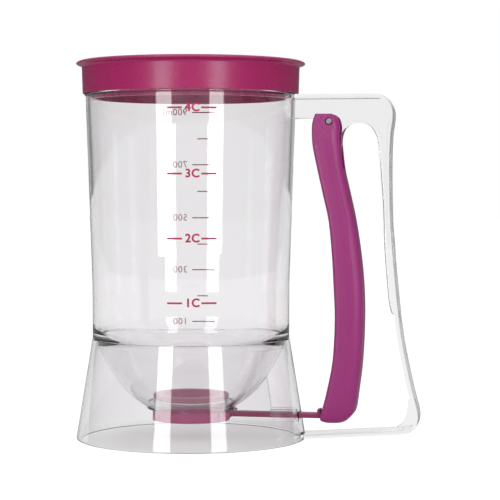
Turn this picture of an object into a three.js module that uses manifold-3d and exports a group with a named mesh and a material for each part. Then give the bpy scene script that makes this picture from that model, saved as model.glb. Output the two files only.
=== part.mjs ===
// A hand-held pancake batter dispenser: a clear hopper with a bowl bottom on a clear flared skirt,
// a clear handle frame, a lift-off lid, and a squeeze lever that pulls a flat gate from the outlet.
// Millimetres, +Z up. Every piece is first laid out about the jug's own axis, with the handle
// towards +X, and the last group then centres the whole object on its footprint.
import * as THREE from 'three';
import { mergeVertices } from 'three/addons/utils/BufferGeometryUtils.js';
import Module from 'manifold-3d';

const wasm = await Module();
wasm.setup();

// Clearances shared by all pieces
const seatGap = 0.3;
const slideGap = 0.3;
const pinGap = 0.15;
const cutOverrun = 5;

// Hopper: jar wall, shoulder, bowl with a thin rib over the pull rod, and the collar round the outlet
const jarRimHeight = 185.7;
const jarRimRadius = 52.9;
const jarWaistRadius = 49.15;
const jarTaperHeight = 76;
const jarWall = 2;
const jarRimRound = 0.6;
const shoulderHeight = 50.3;
const spigotLength = 3.8;
const bowlFootHeight = 16.2;
const bowlFootRadius = 22.6;
const bowlWall = 2;
const bowlLipDrop = 1.2;
const bowlLipInset = 0.5;
const bowlFloorUnder = 14.4;
const bowlFloorRadius = 19.8;
const bowlFloorThickness = 2.4;
const collarBore = 16.5;
const collarRadius = 18.7;
const collarTop = 18.9;
const ribReach = 40.8;
const ribDraft = 2.6;
const ribThickness = 1.6;
// Outer line of the bowl from its foot to the spigot: share of the radius gained, share of the rise
const bowlLineShares = [[0.2, 0.11], [0.4, 0.25], [0.6, 0.44], [0.81, 0.71]];

// Base skirt and the two low guide cheeks beside the pull rod
const skirtFootRadius = 57.6;
const skirtTopRadius = 49.3;
const skirtWall = 2.2;
const skirtFootRound = 0.9;
const guideReach = 40.5;
const guidePlate = 1.6;
const guideLap = 1.8;

// Lid
const lidFlangeRadius = 57;
const lidFlangeThickness = 1.8;
const lidLipDrop = 0.7;
const lidBandDepth = 14.2;
const lidBandWall = 1;
const lidBandTaper = 0.4;
const lidPlugDepth = 16.9;
const lidPlugWall = 1.7;
const lidPlugTaper = 0.9;
const lidFloorThickness = 1.6;
const lidFloorRise = 7.2;

// Handle frame: strips of one width round a thin web
const handleLidGap = 0.8;
const handleReach = 114.2;
const stripWidth = 17;
const stripThickness = 1.9;
const webThickness = 2;
const handleFootHeight = 1.7;
const webTailDrop = 11.7;
// Outer face of the strip from the top corner to the foot corner: shares of the handle's depth,
// which runs from the jar's rim to the reach, and of its top height
const outerStripShares = [
  [0.681, 0.999], [0.721, 0.993], [0.758, 0.979], [0.788, 0.957], [0.793, 0.93], [0.776, 0.884],
  [0.769, 0.82], [0.769, 0.74], [0.776, 0.64], [0.795, 0.55], [0.819, 0.45], [0.86, 0.32],
  [0.909, 0.225], [0.955, 0.15], [0.987, 0.108], [1, 0.078], [0.987, 0.053], [0.948, 0.036],
  [0.87, 0.0295],
];
// Free edge of the web, from the leg inside the lever over the arch and down to the tip
const archShares = [
  [0.38, 0.8], [0.38, 0.861], [0.393, 0.889], [0.421, 0.906], [0.464, 0.917], [0.518, 0.9195],
  [0.575, 0.914], [0.62, 0.902], [0.652, 0.879], [0.672, 0.84], [0.693, 0.75], [0.708, 0.67],
  [0.715, 0.58], [0.728, 0.51], [0.75, 0.42], [0.767, 0.382], [0.784, 0.37], [0.808, 0.366],
];
// Edge of the hidden web leg that faces the lever's front wall
const webLegShares = [[0.231, 0.93], [0.231, 0.86], [0.29, 0.797]];
// Free edge of the small gusset in the foot corner
const gussetShares = [[0.916, 0.125], [0.901, 0.085], [0.87, 0.06], [0.823, 0.046]];

// Pivot pin and return spring
const pivotDepthShare = 0.2855;
const pinDrop = 13.4;
const pinRadius = 1.6;
const pinInset = 0.8;
const headRecessRadius = 2.6;
const headRecessDepth = 0.6;
const pinHeadRadius = 2.3;
const springWire = 0.7;
const springRadius = 2.75;
const springPitch = 1.15;
const springTurns = 2;
const springLegLength = 13;
const springPegRadius = 1.1;
const springPegLength = 3.2;

// Squeeze lever: a channel for the web at its top, a closed hollow grip below
const leverTopRise = 3.8;
const leverFootHeight = 9.3;
const leverWidth = 17.6;
const leverFrontWall = 2.4;
const leverBackWall = 2.2;
const channelWidth = 10.4;
const channelReach = 23.2;
const bridgeHeight = 4;
const webPassGap = 1.2;
const leverBowShare = 0.2708;
// Sections from top to foot: front edge's offset from the pivot and height, the back edge's, width
const leverSectionShares = [
  [-0.349, 1.000, 0.072, 1.000, 0.86],
  [-0.464, 0.988, 0.229, 0.987, 0.95],
  [-0.512, 0.964, 0.295, 0.963, 1.00],
  [-0.518, 0.932, 0.301, 0.932, 1.00],
  [-0.488, 0.892, 0.319, 0.899, 1.00],
  [-0.349, 0.819, 0.398, 0.823, 1.00],
  [-0.175, 0.734, 0.566, 0.741, 1.00],
  [-0.018, 0.656, 0.729, 0.659, 1.00],
  [0.078, 0.550, 0.880, 0.554, 1.00],
  [0.133, 0.445, 0.976, 0.448, 1.00],
  [0.169, 0.335, 1.000, 0.337, 1.00],
  [0.108, 0.206, 0.946, 0.205, 1.00],
  [-0.060, 0.108, 0.843, 0.110, 1.00],
  [-0.205, 0.045, 0.765, 0.051, 1.00],
  [-0.271, 0.018, 0.675, 0.028, 0.96],
  [-0.229, 0.007, 0.494, 0.009, 0.84],
  [-0.084, 0.001, 0.313, 0.001, 0.60],
];
const leverCorner = 2.8;

// Gate and pull rod
const gateBottom = 11.4;
const gateThickness = 2.4;
const gateHalfLength = 9.9;
const gateWidth = 20;
const rodWidth = 6.8;
const rodLugLength = 1.6;
const rodLugHeight = 2.1;
const rodHeadLength = 2.2;
const rodHeadHeight = 3.2;
const rodPlay = 0.6;
const slotRise = 0.6;
const headRoomRise = 1.2;

// Valve seat, gasket and outlet cap
const outletRadius = 7.5;
const seatFlangeRadius = 19;
const seatFlangeTop = 22;
const seatFlangeThickness = 1.8;
const seatFunnelRadius = 14.4;
const seatRoofThickness = 1.2;
const gasketThickness = 0.7;
const capRadius = 19.3;
const capFloor = 1.9;
const mouthReach = 21.5;
const mouthWall = 1.7;
const mouthTipHeight = 1.6;

// Facets
const bigRound = 64;
const smallRound = 48;
const pinSides = 16;
const leverSides = 24;
const leverSteps = 30;
const bowlSteps = 12;
const stripSteps = 60;
const archSteps = 50;
const gussetSteps = 8;
const coilSteps = 8;
const wireSides = 5;

// Colours
const clearPlastic = { color: 0xe4e6e6, roughness: 0.08, metalness: 0, transparent: true, opacity: 0.3 };
const lidPlastic = { color: 0x9c2a60, roughness: 0.35, metalness: 0 };
const leverPlastic = { color: 0xa23b7b, roughness: 0.4, metalness: 0 };
const rodPlastic = { color: 0x8e3760, roughness: 0.4, metalness: 0 };
const pinSteel = { color: 0xb4b4b8, roughness: 0.3, metalness: 1 };
const springSteel = { color: 0x8c8e92, roughness: 0.35, metalness: 1 };
const clearRubber = { color: 0xd8d4d0, roughness: 0.6, metalness: 0 };

// Places that follow from the sizes above
const handleTopHeight = jarRimHeight + seatGap - lidBandDepth - handleLidGap;
const handleDepth = handleReach - jarRimRadius;
const webTailHeight = handleTopHeight - webTailDrop;
const pivotX = jarRimRadius + handleDepth * pivotDepthShare;
const pivotZ = handleTopHeight - pinDrop;
const leverTopHeight = pivotZ + leverTopRise;
const leverLength = leverTopHeight - leverFootHeight;
const leverBow = handleDepth * leverBowShare;
const springPegX = pivotX + springRadius + springWire / 2 + springPegRadius;
const springPegZ = pivotZ - springLegLength + springPegRadius + springWire;

// Shape helpers

// Merge shared corners, drop flat triangles and turn the faces outwards
function closed(geometry) {
  const bare = geometry.clone();
  bare.deleteAttribute('normal');
  bare.deleteAttribute('uv');
  const merged = mergeVertices(bare, 1e-4);
  const place = merged.getAttribute('position');
  const index = merged.getIndex();
  const kept = [];
  let volume = 0;
  const a = new THREE.Vector3();
  const b = new THREE.Vector3();
  const c = new THREE.Vector3();
  for (let i = 0; i < index.count; i += 3) {
    const [p, q, r] = [index.getX(i), index.getX(i + 1), index.getX(i + 2)];
    if (p === q || q === r || r === p) continue;
    kept.push(p, q, r);
    a.fromBufferAttribute(place, p);
    b.fromBufferAttribute(place, q);
    c.fromBufferAttribute(place, r);
    volume += a.dot(b.cross(c));
  }
  if (volume < 0) {
    for (let i = 0; i < kept.length; i += 3) {
      [kept[i + 1], kept[i + 2]] = [kept[i + 2], kept[i + 1]];
    }
  }
  merged.setIndex(kept);
  return merged;
}

function toSolid(geometry) {
  const shell = closed(geometry);
  return new wasm.Manifold(new wasm.Mesh({
    numProp: 3,
    vertProperties: new Float32Array(shell.getAttribute('position').array),
    triVerts: new Uint32Array(shell.getIndex().array),
  }));
}

function toGeometry(solid) {
  const mesh = solid.getMesh();
  const geometry = new THREE.BufferGeometry();
  geometry.setAttribute('position', new THREE.BufferAttribute(mesh.vertProperties, 3));
  geometry.setIndex(new THREE.BufferAttribute(mesh.triVerts, 1));
  return geometry;
}

// A turned solid about Z from [radius, height] points
function turned(profile, sides) {
  const points = profile.map(([radius, height]) => new THREE.Vector2(radius, height));
  const first = points[0];
  const last = points[points.length - 1];
  if (first.x > 0 || last.x > 0) points.push(first.clone());
  return new THREE.LatheGeometry(points, sides).rotateX(Math.PI / 2);
}

// A plate drawn in X and Z, and given its width along Y about the middle plane
function plate(points, width) {
  const shape = new THREE.Shape(points.map(([x, z]) => new THREE.Vector2(x, z)));
  const geometry = new THREE.ExtrudeGeometry(shape, { depth: width, bevelEnabled: false });
  return geometry.translate(0, 0, -width / 2).rotateX(Math.PI / 2);
}

function block(xLow, xHigh, width, zLow, zHigh) {
  const geometry = new THREE.BoxGeometry(xHigh - xLow, width, zHigh - zLow);
  return geometry.translate((xLow + xHigh) / 2, 0, (zLow + zHigh) / 2);
}

// A round bar along Y through the point x, z
function crossBar(x, z, radius, yLow, yHigh) {
  const geometry = new THREE.CylinderGeometry(radius, radius, yHigh - yLow, pinSides);
  return geometry.translate(x, (yLow + yHigh) / 2, z);
}

// A smooth line through [x, z] points, as a list of points
function smooth(points, steps) {
  const curve = new THREE.SplineCurve(points.map(([x, z]) => new THREE.Vector2(x, z)));
  return curve.getPoints(steps).map((p) => [p.x, p.y]);
}

// The line moved sideways by a distance, to the left of its run
function moved(points, distance) {
  return points.map((point, i) => {
    const before = points[Math.max(i - 1, 0)];
    const after = points[Math.min(i + 1, points.length - 1)];
    const run = new THREE.Vector2(after[0] - before[0], after[1] - before[1]).normalize();
    return [point[0] - run.y * distance, point[1] + run.x * distance];
  });
}

function material(look) {
  return new THREE.MeshStandardMaterial(look);
}

const dispenser = new THREE.Group();

function add(name, geometry, look) {
  const mesh = new THREE.Mesh(geometry, material(look));
  mesh.name = name;
  dispenser.add(mesh);
  return mesh;
}

// Radii of the walls that other pieces fit

function jarRadiusAt(height) {
  const rise = Math.max(height - jarTaperHeight, 0) / (jarRimHeight - jarTaperHeight);
  return jarWaistRadius + (jarRimRadius - jarWaistRadius) * rise;
}

const skirtTopHeight = shoulderHeight - seatGap;

function skirtRadiusAt(height) {
  return skirtFootRadius + (skirtTopRadius - skirtFootRadius) * (height / skirtTopHeight);
}

const spigotRadius = skirtTopRadius - skirtWall - seatGap;
const spigotFoot = shoulderHeight - spigotLength;

function bowlLine() {
  const middle = bowlLineShares.map(([outward, up]) => [
    bowlFootRadius + (spigotRadius - bowlFootRadius) * outward,
    bowlFootHeight + (spigotFoot - bowlFootHeight) * up,
  ]);
  return smooth([[bowlFootRadius, bowlFootHeight], ...middle, [spigotRadius, spigotFoot]], bowlSteps);
}

// Hopper
function makeHopper() {
  const line = bowlLine();
  const inside = moved(line, bowlWall);
  const floorTop = bowlFloorUnder + bowlFloorThickness;
  const shell = toSolid(turned([
    [collarBore, bowlFloorUnder],
    [bowlFloorRadius, bowlFloorUnder],
    [bowlFootRadius - bowlLipInset, bowlFootHeight - bowlLipDrop],
    ...line,
    [spigotRadius, shoulderHeight],
    [jarWaistRadius, shoulderHeight],
    [jarWaistRadius, jarTaperHeight],
    [jarRimRadius, jarRimHeight - jarRimRound],
    [jarRimRadius - jarRimRound, jarRimHeight],
    [jarRimRadius - jarWall + jarRimRound, jarRimHeight],
    [jarRimRadius - jarWall, jarRimHeight - jarRimRound],
    [jarWaistRadius - jarWall, jarTaperHeight],
    [jarWaistRadius - jarWall, shoulderHeight + jarWall],
    ...inside.reverse(),
    [collarRadius, floorTop],
    [collarRadius, collarTop],
    [collarBore, collarTop],
  ], bigRound));
  const rib = toSolid(plate([
    [0, bowlFloorUnder],
    [ribReach, bowlFloorUnder],
    [ribReach - ribDraft, spigotFoot],
    [0, spigotFoot],
  ], ribThickness));
  const middle = moved(line, bowlWall / 2);
  const bowlRoom = toSolid(turned([
    [0, bowlFloorUnder - cutOverrun],
    [middle[0][0], bowlFloorUnder - cutOverrun],
    ...middle,
    [middle[middle.length - 1][0], spigotFoot + cutOverrun],
    [0, spigotFoot + cutOverrun],
  ], bigRound));
  return toGeometry(shell.add(rib.subtract(bowlRoom)));
}

// Base skirt, cut open for the pull rod, with a guide cheek on each side of the rod
const rodTop = gateBottom + gateThickness;
const guideGap = rodWidth + 2 * slideGap;

function makeSkirt() {
  const wall = toSolid(turned([
    [skirtFootRadius - skirtFootRound, 0],
    [skirtRadiusAt(skirtFootRound), skirtFootRound],
    [skirtTopRadius, skirtTopHeight],
    [skirtTopRadius - skirtWall, skirtTopHeight],
    [skirtRadiusAt(skirtFootRound) - skirtWall, skirtFootRound],
    [skirtFootRadius - skirtWall, 0],
  ], bigRound));
  const inside = toSolid(turned([
    [0, 0],
    [skirtRadiusAt(0) - skirtWall / 2, 0],
    [skirtTopRadius - skirtWall / 2, skirtTopHeight],
    [0, skirtTopHeight],
  ], bigRound));
  const slab = toSolid(block(
    guideReach, skirtFootRadius, guideGap + 2 * guidePlate, gateBottom - guideLap, rodTop + guideLap,
  ));
  const between = toSolid(block(guideReach - cutOverrun, skirtFootRadius, guideGap, 0, shoulderHeight));
  const slot = toSolid(block(
    guideReach, skirtFootRadius + cutOverrun, guideGap, gateBottom - slideGap, rodTop + slideGap,
  ));
  const guides = slab.intersect(inside).subtract(between);
  return toGeometry(wall.add(guides).subtract(slot));
}

// Lid: a recessed plug, a straight band that lifts past the jar's rim, and a flange round the top
function makeLid() {
  const ceiling = jarRimHeight + seatGap;
  const top = ceiling + lidFlangeThickness;
  const bandFoot = ceiling - lidBandDepth;
  const bandInner = jarRimRadius + seatGap;
  const plugTop = jarRimRadius - jarWall - seatGap;
  const plugFootHeight = ceiling - lidPlugDepth;
  const plugFoot = jarRadiusAt(plugFootHeight) - jarWall - seatGap - lidPlugTaper;
  const floorUnder = plugFootHeight + lidFloorRise;
  const floorTop = floorUnder + lidFloorThickness;
  return turned([
    [0, floorUnder],
    [plugFoot - lidPlugWall, floorUnder],
    [plugFoot - lidPlugWall, plugFootHeight],
    [plugFoot, plugFootHeight],
    [plugTop, ceiling],
    [bandInner, ceiling],
    [bandInner, bandFoot],
    [bandInner + lidBandWall - lidBandTaper, bandFoot],
    [bandInner + lidBandWall, ceiling],
    [lidFlangeRadius - lidLipDrop, ceiling - lidLipDrop / 2],
    [lidFlangeRadius, ceiling],
    [lidFlangeRadius, ceiling + lidFlangeThickness / 2],
    [lidFlangeRadius - lidLipDrop, top],
    [plugTop - lidPlugWall, top],
    [plugFoot - lidPlugWall, floorTop],
    [0, floorTop],
  ], bigRound);
}

// Handle frame
function handlePoints(shares) {
  return shares.map(([outward, up]) => [jarRimRadius + outward * handleDepth, up * handleTopHeight]);
}

function makeHandle() {
  const side = smooth(handlePoints(outerStripShares), stripSteps);
  const foot = side[side.length - 1];
  const footSlope = (foot[1] - handleFootHeight) / (foot[0] - skirtFootRadius);
  const outer = [[0, handleTopHeight], ...side, [0, handleFootHeight - footSlope * skirtFootRadius]];
  const inner = moved(outer, -stripThickness);
  const strip = toSolid(plate([...outer, ...inner.reverse()], stripWidth));

  const middle = moved(side, -stripThickness / 2);
  const arch = smooth(handlePoints(archShares), archSteps);
  const tip = arch[arch.length - 1];
  const rim = middle.filter((point) => point[1] > tip[1]);
  const web = toSolid(plate([
    [0, handleTopHeight - stripThickness / 2],
    ...rim,
    ...arch.reverse(),
    ...handlePoints(webLegShares).reverse(),
    [handlePoints(webLegShares)[0][0], webTailHeight],
    [0, webTailHeight],
  ], webThickness));

  const gussetEdge = handlePoints(gussetShares);
  const gussetTop = gussetEdge[0][1];
  const gussetEnd = gussetEdge[gussetEdge.length - 1][0];
  const corner = middle.filter((point) => point[1] < gussetTop && point[0] > gussetEnd);
  const gusset = toSolid(plate([...corner, ...smooth(gussetEdge, gussetSteps).reverse()], webThickness));

  const pegEnd = webThickness / 2 + springPegLength;
  const peg = toSolid(crossBar(springPegX, springPegZ, springPegRadius, 0, pegEnd));
  const pinHole = toSolid(crossBar(pivotX, pivotZ, pinRadius + pinGap, -stripWidth, stripWidth));
  const jarRoom = toSolid(turned([
    [0, shoulderHeight],
    [jarWaistRadius + seatGap, shoulderHeight],
    [jarWaistRadius + seatGap, jarTaperHeight],
    [jarRimRadius + seatGap, jarRimHeight],
    [0, jarRimHeight],
  ], bigRound));
  const skirtRoom = toSolid(turned([
    [0, -cutOverrun],
    [skirtRadiusAt(-cutOverrun) + seatGap, -cutOverrun],
    [skirtTopRadius + seatGap, skirtTopHeight],
    [0, skirtTopHeight],
  ], bigRound));
  const whole = strip.add(web).add(gusset).add(peg);
  return toGeometry(whole.subtract(pinHole).subtract(jarRoom).subtract(skirtRoom));
}

// Squeeze lever
function leverEdge(columnX, columnZ) {
  return smooth(leverSectionShares.map((row) => [
    pivotX + row[columnX] * leverBow,
    leverFootHeight + row[columnZ] * leverLength,
  ]), leverSteps);
}

const leverFront = leverEdge(0, 1);
const leverBack = leverEdge(2, 3);
const leverWidths = smooth(leverSectionShares.map((row, i) => [i, row[4]]), leverSteps);

function edgeAt(edge, height) {
  const i = edge.findIndex((point) => point[1] <= height);
  const [above, below] = [edge[i - 1], edge[i]];
  const share = (above[1] - height) / (above[1] - below[1]);
  return above[0] + (below[0] - above[0]) * share;
}

const rodMiddle = gateBottom + gateThickness / 2;
const lugFace = edgeAt(leverFront, rodTop) - rodPlay;
const headFace = edgeAt(leverFront, rodTop + rodHeadHeight) + leverFrontWall + rodPlay;
const headEnd = headFace + rodHeadLength;

// A closed skin over rings of points, each ring as long as the next
function skin(rings) {
  const sides = rings[0].length;
  const faces = [];
  for (let i = 0; i + 1 < rings.length; i += 1) {
    for (let k = 0; k < sides; k += 1) {
      const next = (k + 1) % sides;
      const [a, b] = [i * sides + k, i * sides + next];
      faces.push(a, b, b + sides, a, b + sides, a + sides);
    }
  }
  const last = (rings.length - 1) * sides;
  for (let k = 1; k + 1 < sides; k += 1) {
    faces.push(0, k + 1, k, last, last + k, last + k + 1);
  }
  const geometry = new THREE.BufferGeometry().setFromPoints(rings.flat());
  geometry.setIndex(faces);
  return geometry;
}

function makeLever() {
  const rings = leverFront.map((front, i) => {
    const back = leverBack[i];
    const halfWidth = (leverWidth / 2) * leverWidths[i][1];
    return Array.from({ length: leverSides }, (_, k) => {
      const angle = (k / leverSides) * 2 * Math.PI;
      const depthShare = Math.sign(Math.cos(angle)) * Math.abs(Math.cos(angle)) ** (2 / leverCorner);
      const widthShare = Math.sign(Math.sin(angle)) * Math.abs(Math.sin(angle)) ** (2 / leverCorner);
      return new THREE.Vector3(
        (front[0] + back[0]) / 2 + ((back[0] - front[0]) / 2) * depthShare,
        halfWidth * widthShare,
        (front[1] + back[1]) / 2 + ((back[1] - front[1]) / 2) * depthShare,
      );
    });
  });
  const body = toSolid(skin(rings));
  const channelFoot = pivotZ - channelReach;
  const frontWall = moved(leverFront, leverFrontWall);
  const backWall = moved(leverBack, -leverBackWall);
  const channelEnd = pivotX + 2 * leverBow;
  const channel = toSolid(plate([
    [frontWall[0][0], leverTopHeight + cutOverrun],
    ...frontWall.filter((point) => point[1] > channelFoot),
    [edgeAt(frontWall, channelFoot), channelFoot],
    [channelEnd, channelFoot],
    [channelEnd, leverTopHeight + cutOverrun],
  ], channelWidth));
  const hollowFoot = rodTop + rodHeadHeight;
  const hollowTop = channelFoot - bridgeHeight;
  const inHollow = (point) => point[1] > hollowFoot && point[1] < hollowTop;
  const hollow = toSolid(plate([
    [edgeAt(frontWall, hollowTop), hollowTop],
    ...frontWall.filter(inHollow),
    [edgeAt(frontWall, hollowFoot), hollowFoot],
    [edgeAt(backWall, hollowFoot), hollowFoot],
    ...backWall.filter(inHollow).reverse(),
    [edgeAt(backWall, hollowTop), hollowTop],
  ], channelWidth));
  const webRoomFoot = webTailHeight - webPassGap;
  const webRoom = toSolid(block(
    pivotX - leverBow, pivotX + leverBow, channelWidth, webRoomFoot, leverTopHeight + cutOverrun,
  ));
  const rodRoom = toSolid(block(
    lugFace - cutOverrun, headEnd + rodPlay, rodWidth + 2 * rodPlay, 0, rodTop + slotRise,
  ));
  const headSpace = toSolid(block(
    headFace - rodPlay, headEnd + rodPlay, rodWidth + 2 * rodPlay, 0, rodTop + rodHeadHeight + headRoomRise,
  ));
  const hole = toSolid(crossBar(pivotX, pivotZ, pinRadius + pinGap, -leverWidth, leverWidth));
  const recess = leverWidth / 2 - headRecessDepth - pinInset;
  const nearRecess = toSolid(crossBar(pivotX, pivotZ, headRecessRadius, -leverWidth, -recess));
  const farRecess = toSolid(crossBar(pivotX, pivotZ, headRecessRadius, recess, leverWidth));
  const cuts = [channel, hollow, webRoom, rodRoom, headSpace, hole, nearRecess, farRecess];
  return toGeometry(cuts.reduce((left, cut) => left.subtract(cut), body));
}

// Pivot pin: a shaft with a flat head, both ends sunk in the lever's cheeks
function makePin() {
  const half = leverWidth / 2;
  const shaft = toSolid(crossBar(pivotX, pivotZ, pinRadius, -half + pinInset, half - pinInset));
  const head = toSolid(crossBar(
    pivotX, pivotZ, pinHeadRadius, -half + pinInset, -half + pinInset + headRecessDepth - seatGap,
  ));
  return toGeometry(shaft.add(head));
}

// Return spring: coil round the pin beside the web, one leg on the lever's front wall, one on a peg
function makeSpring() {
  const coilStart = webThickness / 2 + seatGap + springWire / 2;
  const route = [];
  const startAngle = Math.PI / 2;
  const frontLegX = pivotX - springRadius;
  const backLegX = pivotX + springRadius;
  const turnSpan = springTurns * 2 * Math.PI + Math.PI;
  const steps = Math.round((turnSpan / (2 * Math.PI)) * coilSteps);
  route.push(new THREE.Vector3(backLegX, coilStart, pivotZ - springLegLength));
  route.push(new THREE.Vector3(backLegX, coilStart, pivotZ - springLegLength / 2));
  for (let i = 0; i <= steps; i += 1) {
    const turn = (i / steps) * turnSpan;
    const angle = startAngle - Math.PI / 2 + turn;
    route.push(new THREE.Vector3(
      pivotX + springRadius * Math.cos(angle),
      coilStart + (turn / (2 * Math.PI)) * springPitch,
      pivotZ + springRadius * Math.sin(angle),
    ));
  }
  const end = route[route.length - 1];
  route.push(new THREE.Vector3(frontLegX, end.y, pivotZ - springLegLength / 2));
  const legFoot = pivotZ - springLegLength;
  const legRest = edgeAt(leverFront, legFoot) + leverFrontWall + seatGap + springWire / 2;
  route.push(new THREE.Vector3(legRest, end.y, legFoot));
  const rings = route.map((place, i) => {
    const before = route[Math.max(i - 1, 0)];
    const after = route[Math.min(i + 1, route.length - 1)];
    const run = after.clone().sub(before).normalize();
    const side = new THREE.Vector3(0, 1, 0).addScaledVector(run, -run.y).normalize();
    const up = new THREE.Vector3().crossVectors(run, side);
    return Array.from({ length: wireSides }, (_, k) => {
      const angle = (k / wireSides) * 2 * Math.PI;
      return place.clone()
        .addScaledVector(side, (springWire / 2) * Math.cos(angle))
        .addScaledVector(up, (springWire / 2) * Math.sin(angle));
    });
  });
  let leastGap = Infinity;
  for (let i = 0; i < rings.length; i += 1) {
    for (let j = i + coilSteps / 2; j < rings.length; j += 1) {
      for (const p of rings[i]) {
        for (const q of rings[j]) leastGap = Math.min(leastGap, p.distanceTo(q));
      }
    }
  }
  console.log(`return spring: least gap between turns ${leastGap.toFixed(2)} mm`);
  return closed(skin(rings));
}

// Gate with its pull rod: lug in front of the lever's wall and head behind it
function makeGate() {
  const gate = toSolid(block(-gateHalfLength, gateHalfLength, gateWidth, gateBottom, rodTop));
  const rod = toSolid(block(0, headEnd, rodWidth, gateBottom, rodTop));
  const lug = toSolid(block(lugFace - rodLugLength, lugFace, rodWidth, rodMiddle, rodTop + rodLugHeight));
  const head = toSolid(block(headFace, headEnd, rodWidth, rodMiddle, rodTop + rodHeadHeight));
  return toGeometry(gate.add(rod).add(lug).add(head));
}

// Valve seat: flange over the collar, funnel, and cheeks beside the gate
const channelFloor = gateBottom - slideGap;
const gateRoomWidth = gateWidth + 2 * slideGap;

function makeSeat() {
  const tube = collarBore - seatGap;
  const roof = bowlFloorUnder;
  const body = toSolid(turned([
    [outletRadius, channelFloor + seatGap],
    [tube, channelFloor + seatGap],
    [tube, seatFlangeTop - seatFlangeThickness],
    [seatFlangeRadius, seatFlangeTop - seatFlangeThickness],
    [seatFlangeRadius, seatFlangeTop],
    [seatFunnelRadius, seatFlangeTop],
    [outletRadius, roof + seatRoofThickness],
  ], smallRound));
  const gateRoom = toSolid(block(
    -gateHalfLength - slideGap, capRadius + cutOverrun, gateRoomWidth, 0, roof,
  ));
  return toGeometry(body.subtract(gateRoom));
}

function makeGasket() {
  const top = seatFlangeTop - seatFlangeThickness - seatGap;
  return turned([
    [collarBore, top - gasketThickness],
    [collarRadius, top - gasketThickness],
    [collarRadius, top],
    [collarBore, top],
  ], smallRound);
}

// Outlet cap: cup round the seat's lower end, with a mouth for the gate on the handle side
function makeCap() {
  const top = bowlFloorUnder - seatGap;
  const bottom = channelFloor - capFloor;
  const cup = toSolid(turned([
    [outletRadius, bottom],
    [capRadius, bottom],
    [capRadius, top],
    [collarBore, top],
    [collarBore, channelFloor],
    [outletRadius, channelFloor],
  ], smallRound));
  const mouth = toSolid(plate([
    [collarBore + seatGap, bottom + mouthTipHeight / 2],
    [capRadius, bottom + mouthTipHeight / 2],
    [mouthReach, top - mouthTipHeight],
    [mouthReach, top],
    [collarBore + seatGap, top],
  ], gateRoomWidth + 2 * mouthWall));
  const gateRoom = toSolid(block(0, mouthReach + cutOverrun, gateRoomWidth, channelFloor, top + cutOverrun));
  return toGeometry(cup.add(mouth).subtract(gateRoom));
}

add('hopper', makeHopper(), clearPlastic);
add('base_skirt', makeSkirt(), clearPlastic);
add('handle_frame', makeHandle(), clearPlastic);
add('lid', closed(makeLid()), lidPlastic);
add('squeeze_lever', makeLever(), leverPlastic);
add('pivot_pin', makePin(), pinSteel);
add('return_spring', makeSpring(), springSteel);
add('gate_rod', makeGate(), rodPlastic);
add('valve_seat', makeSeat(), lidPlastic);
add('valve_gasket', closed(makeGasket()), clearRubber);
add('outlet_cap', makeCap(), lidPlastic);

// The footprint runs from the skirt's rim to the handle's outer face
dispenser.position.x = (skirtFootRadius - handleReach) / 2;

const assembly = new THREE.Group();
assembly.add(dispenser);

export default assembly;
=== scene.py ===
import math

import bpy
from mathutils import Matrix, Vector


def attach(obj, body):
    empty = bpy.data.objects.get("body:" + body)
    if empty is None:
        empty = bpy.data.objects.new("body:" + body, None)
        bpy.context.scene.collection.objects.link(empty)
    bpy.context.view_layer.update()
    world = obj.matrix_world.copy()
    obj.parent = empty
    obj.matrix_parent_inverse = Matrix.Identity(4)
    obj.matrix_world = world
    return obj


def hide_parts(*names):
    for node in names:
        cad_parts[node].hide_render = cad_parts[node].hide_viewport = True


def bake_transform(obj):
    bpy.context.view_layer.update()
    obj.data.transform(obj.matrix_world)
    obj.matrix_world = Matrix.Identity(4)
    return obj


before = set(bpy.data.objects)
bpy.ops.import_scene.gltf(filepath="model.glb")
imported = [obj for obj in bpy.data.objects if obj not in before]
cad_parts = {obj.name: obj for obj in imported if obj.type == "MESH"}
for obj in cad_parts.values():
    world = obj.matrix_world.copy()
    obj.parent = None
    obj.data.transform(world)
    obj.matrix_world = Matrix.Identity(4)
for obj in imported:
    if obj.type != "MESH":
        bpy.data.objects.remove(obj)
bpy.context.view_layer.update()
print("loaded the CAD frame")

# Shared by the pieces. Lengths are in millimetres and angles in degrees; heights are above the table,
# and x is measured from the jug's axis.
layout = {
    "jugX": -28.3,        # the jug's axis in the frame
    "pivotX": 70.4,       # the lever's pin
    "pivotZ": 157.6,
    "seatGap": 0.3,       # between a piece and what carries it
    "overrun": 5,         # how far a cut reaches past the piece
    "weld": 0.01,         # points closer than this become one
    "turnSteps": 192,     # faces round a large turned piece
    "fineSteps": 128,     # and round a small one
    "crispAngle": 30,     # sharper edges keep their crease
}


def mm(length):
    return length / 1000


def place(x, z, y=0):
    return Vector((mm(x + layout["jugX"]), mm(y), mm(z)))


# Small tools

def smoothLine(points, steps):
    # an even curve through the points, with the same run as the CAD model's lines
    line = []
    last = len(points) - 1
    for step in range(steps + 1):
        run = last * step / steps
        i = min(int(run), last)
        t = run - i
        around = points[max(i - 1, 0)], points[i], points[min(i + 1, last)], points[min(i + 2, last)]
        mixed = []
        for before, start, end, after in zip(*around):
            leaving, arriving = (end - before) / 2, (after - start) / 2
            cube = 2 * start - 2 * end + leaving + arriving
            square = 3 * end - 3 * start - 2 * leaving - arriving
            mixed.append(cube * t ** 3 + square * t ** 2 + leaving * t + start)
        line.append(tuple(mixed))
    return line


def offsetLine(points, distance):
    # the line moved sideways, to the left of its run
    moved = []
    for i, (x, z) in enumerate(points):
        before, after = points[max(i - 1, 0)], points[min(i + 1, len(points) - 1)]
        dx, dz = after[0] - before[0], after[1] - before[1]
        length = math.hypot(dx, dz)
        moved.append((x - dz / length * distance, z + dx / length * distance))
    return moved


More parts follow.
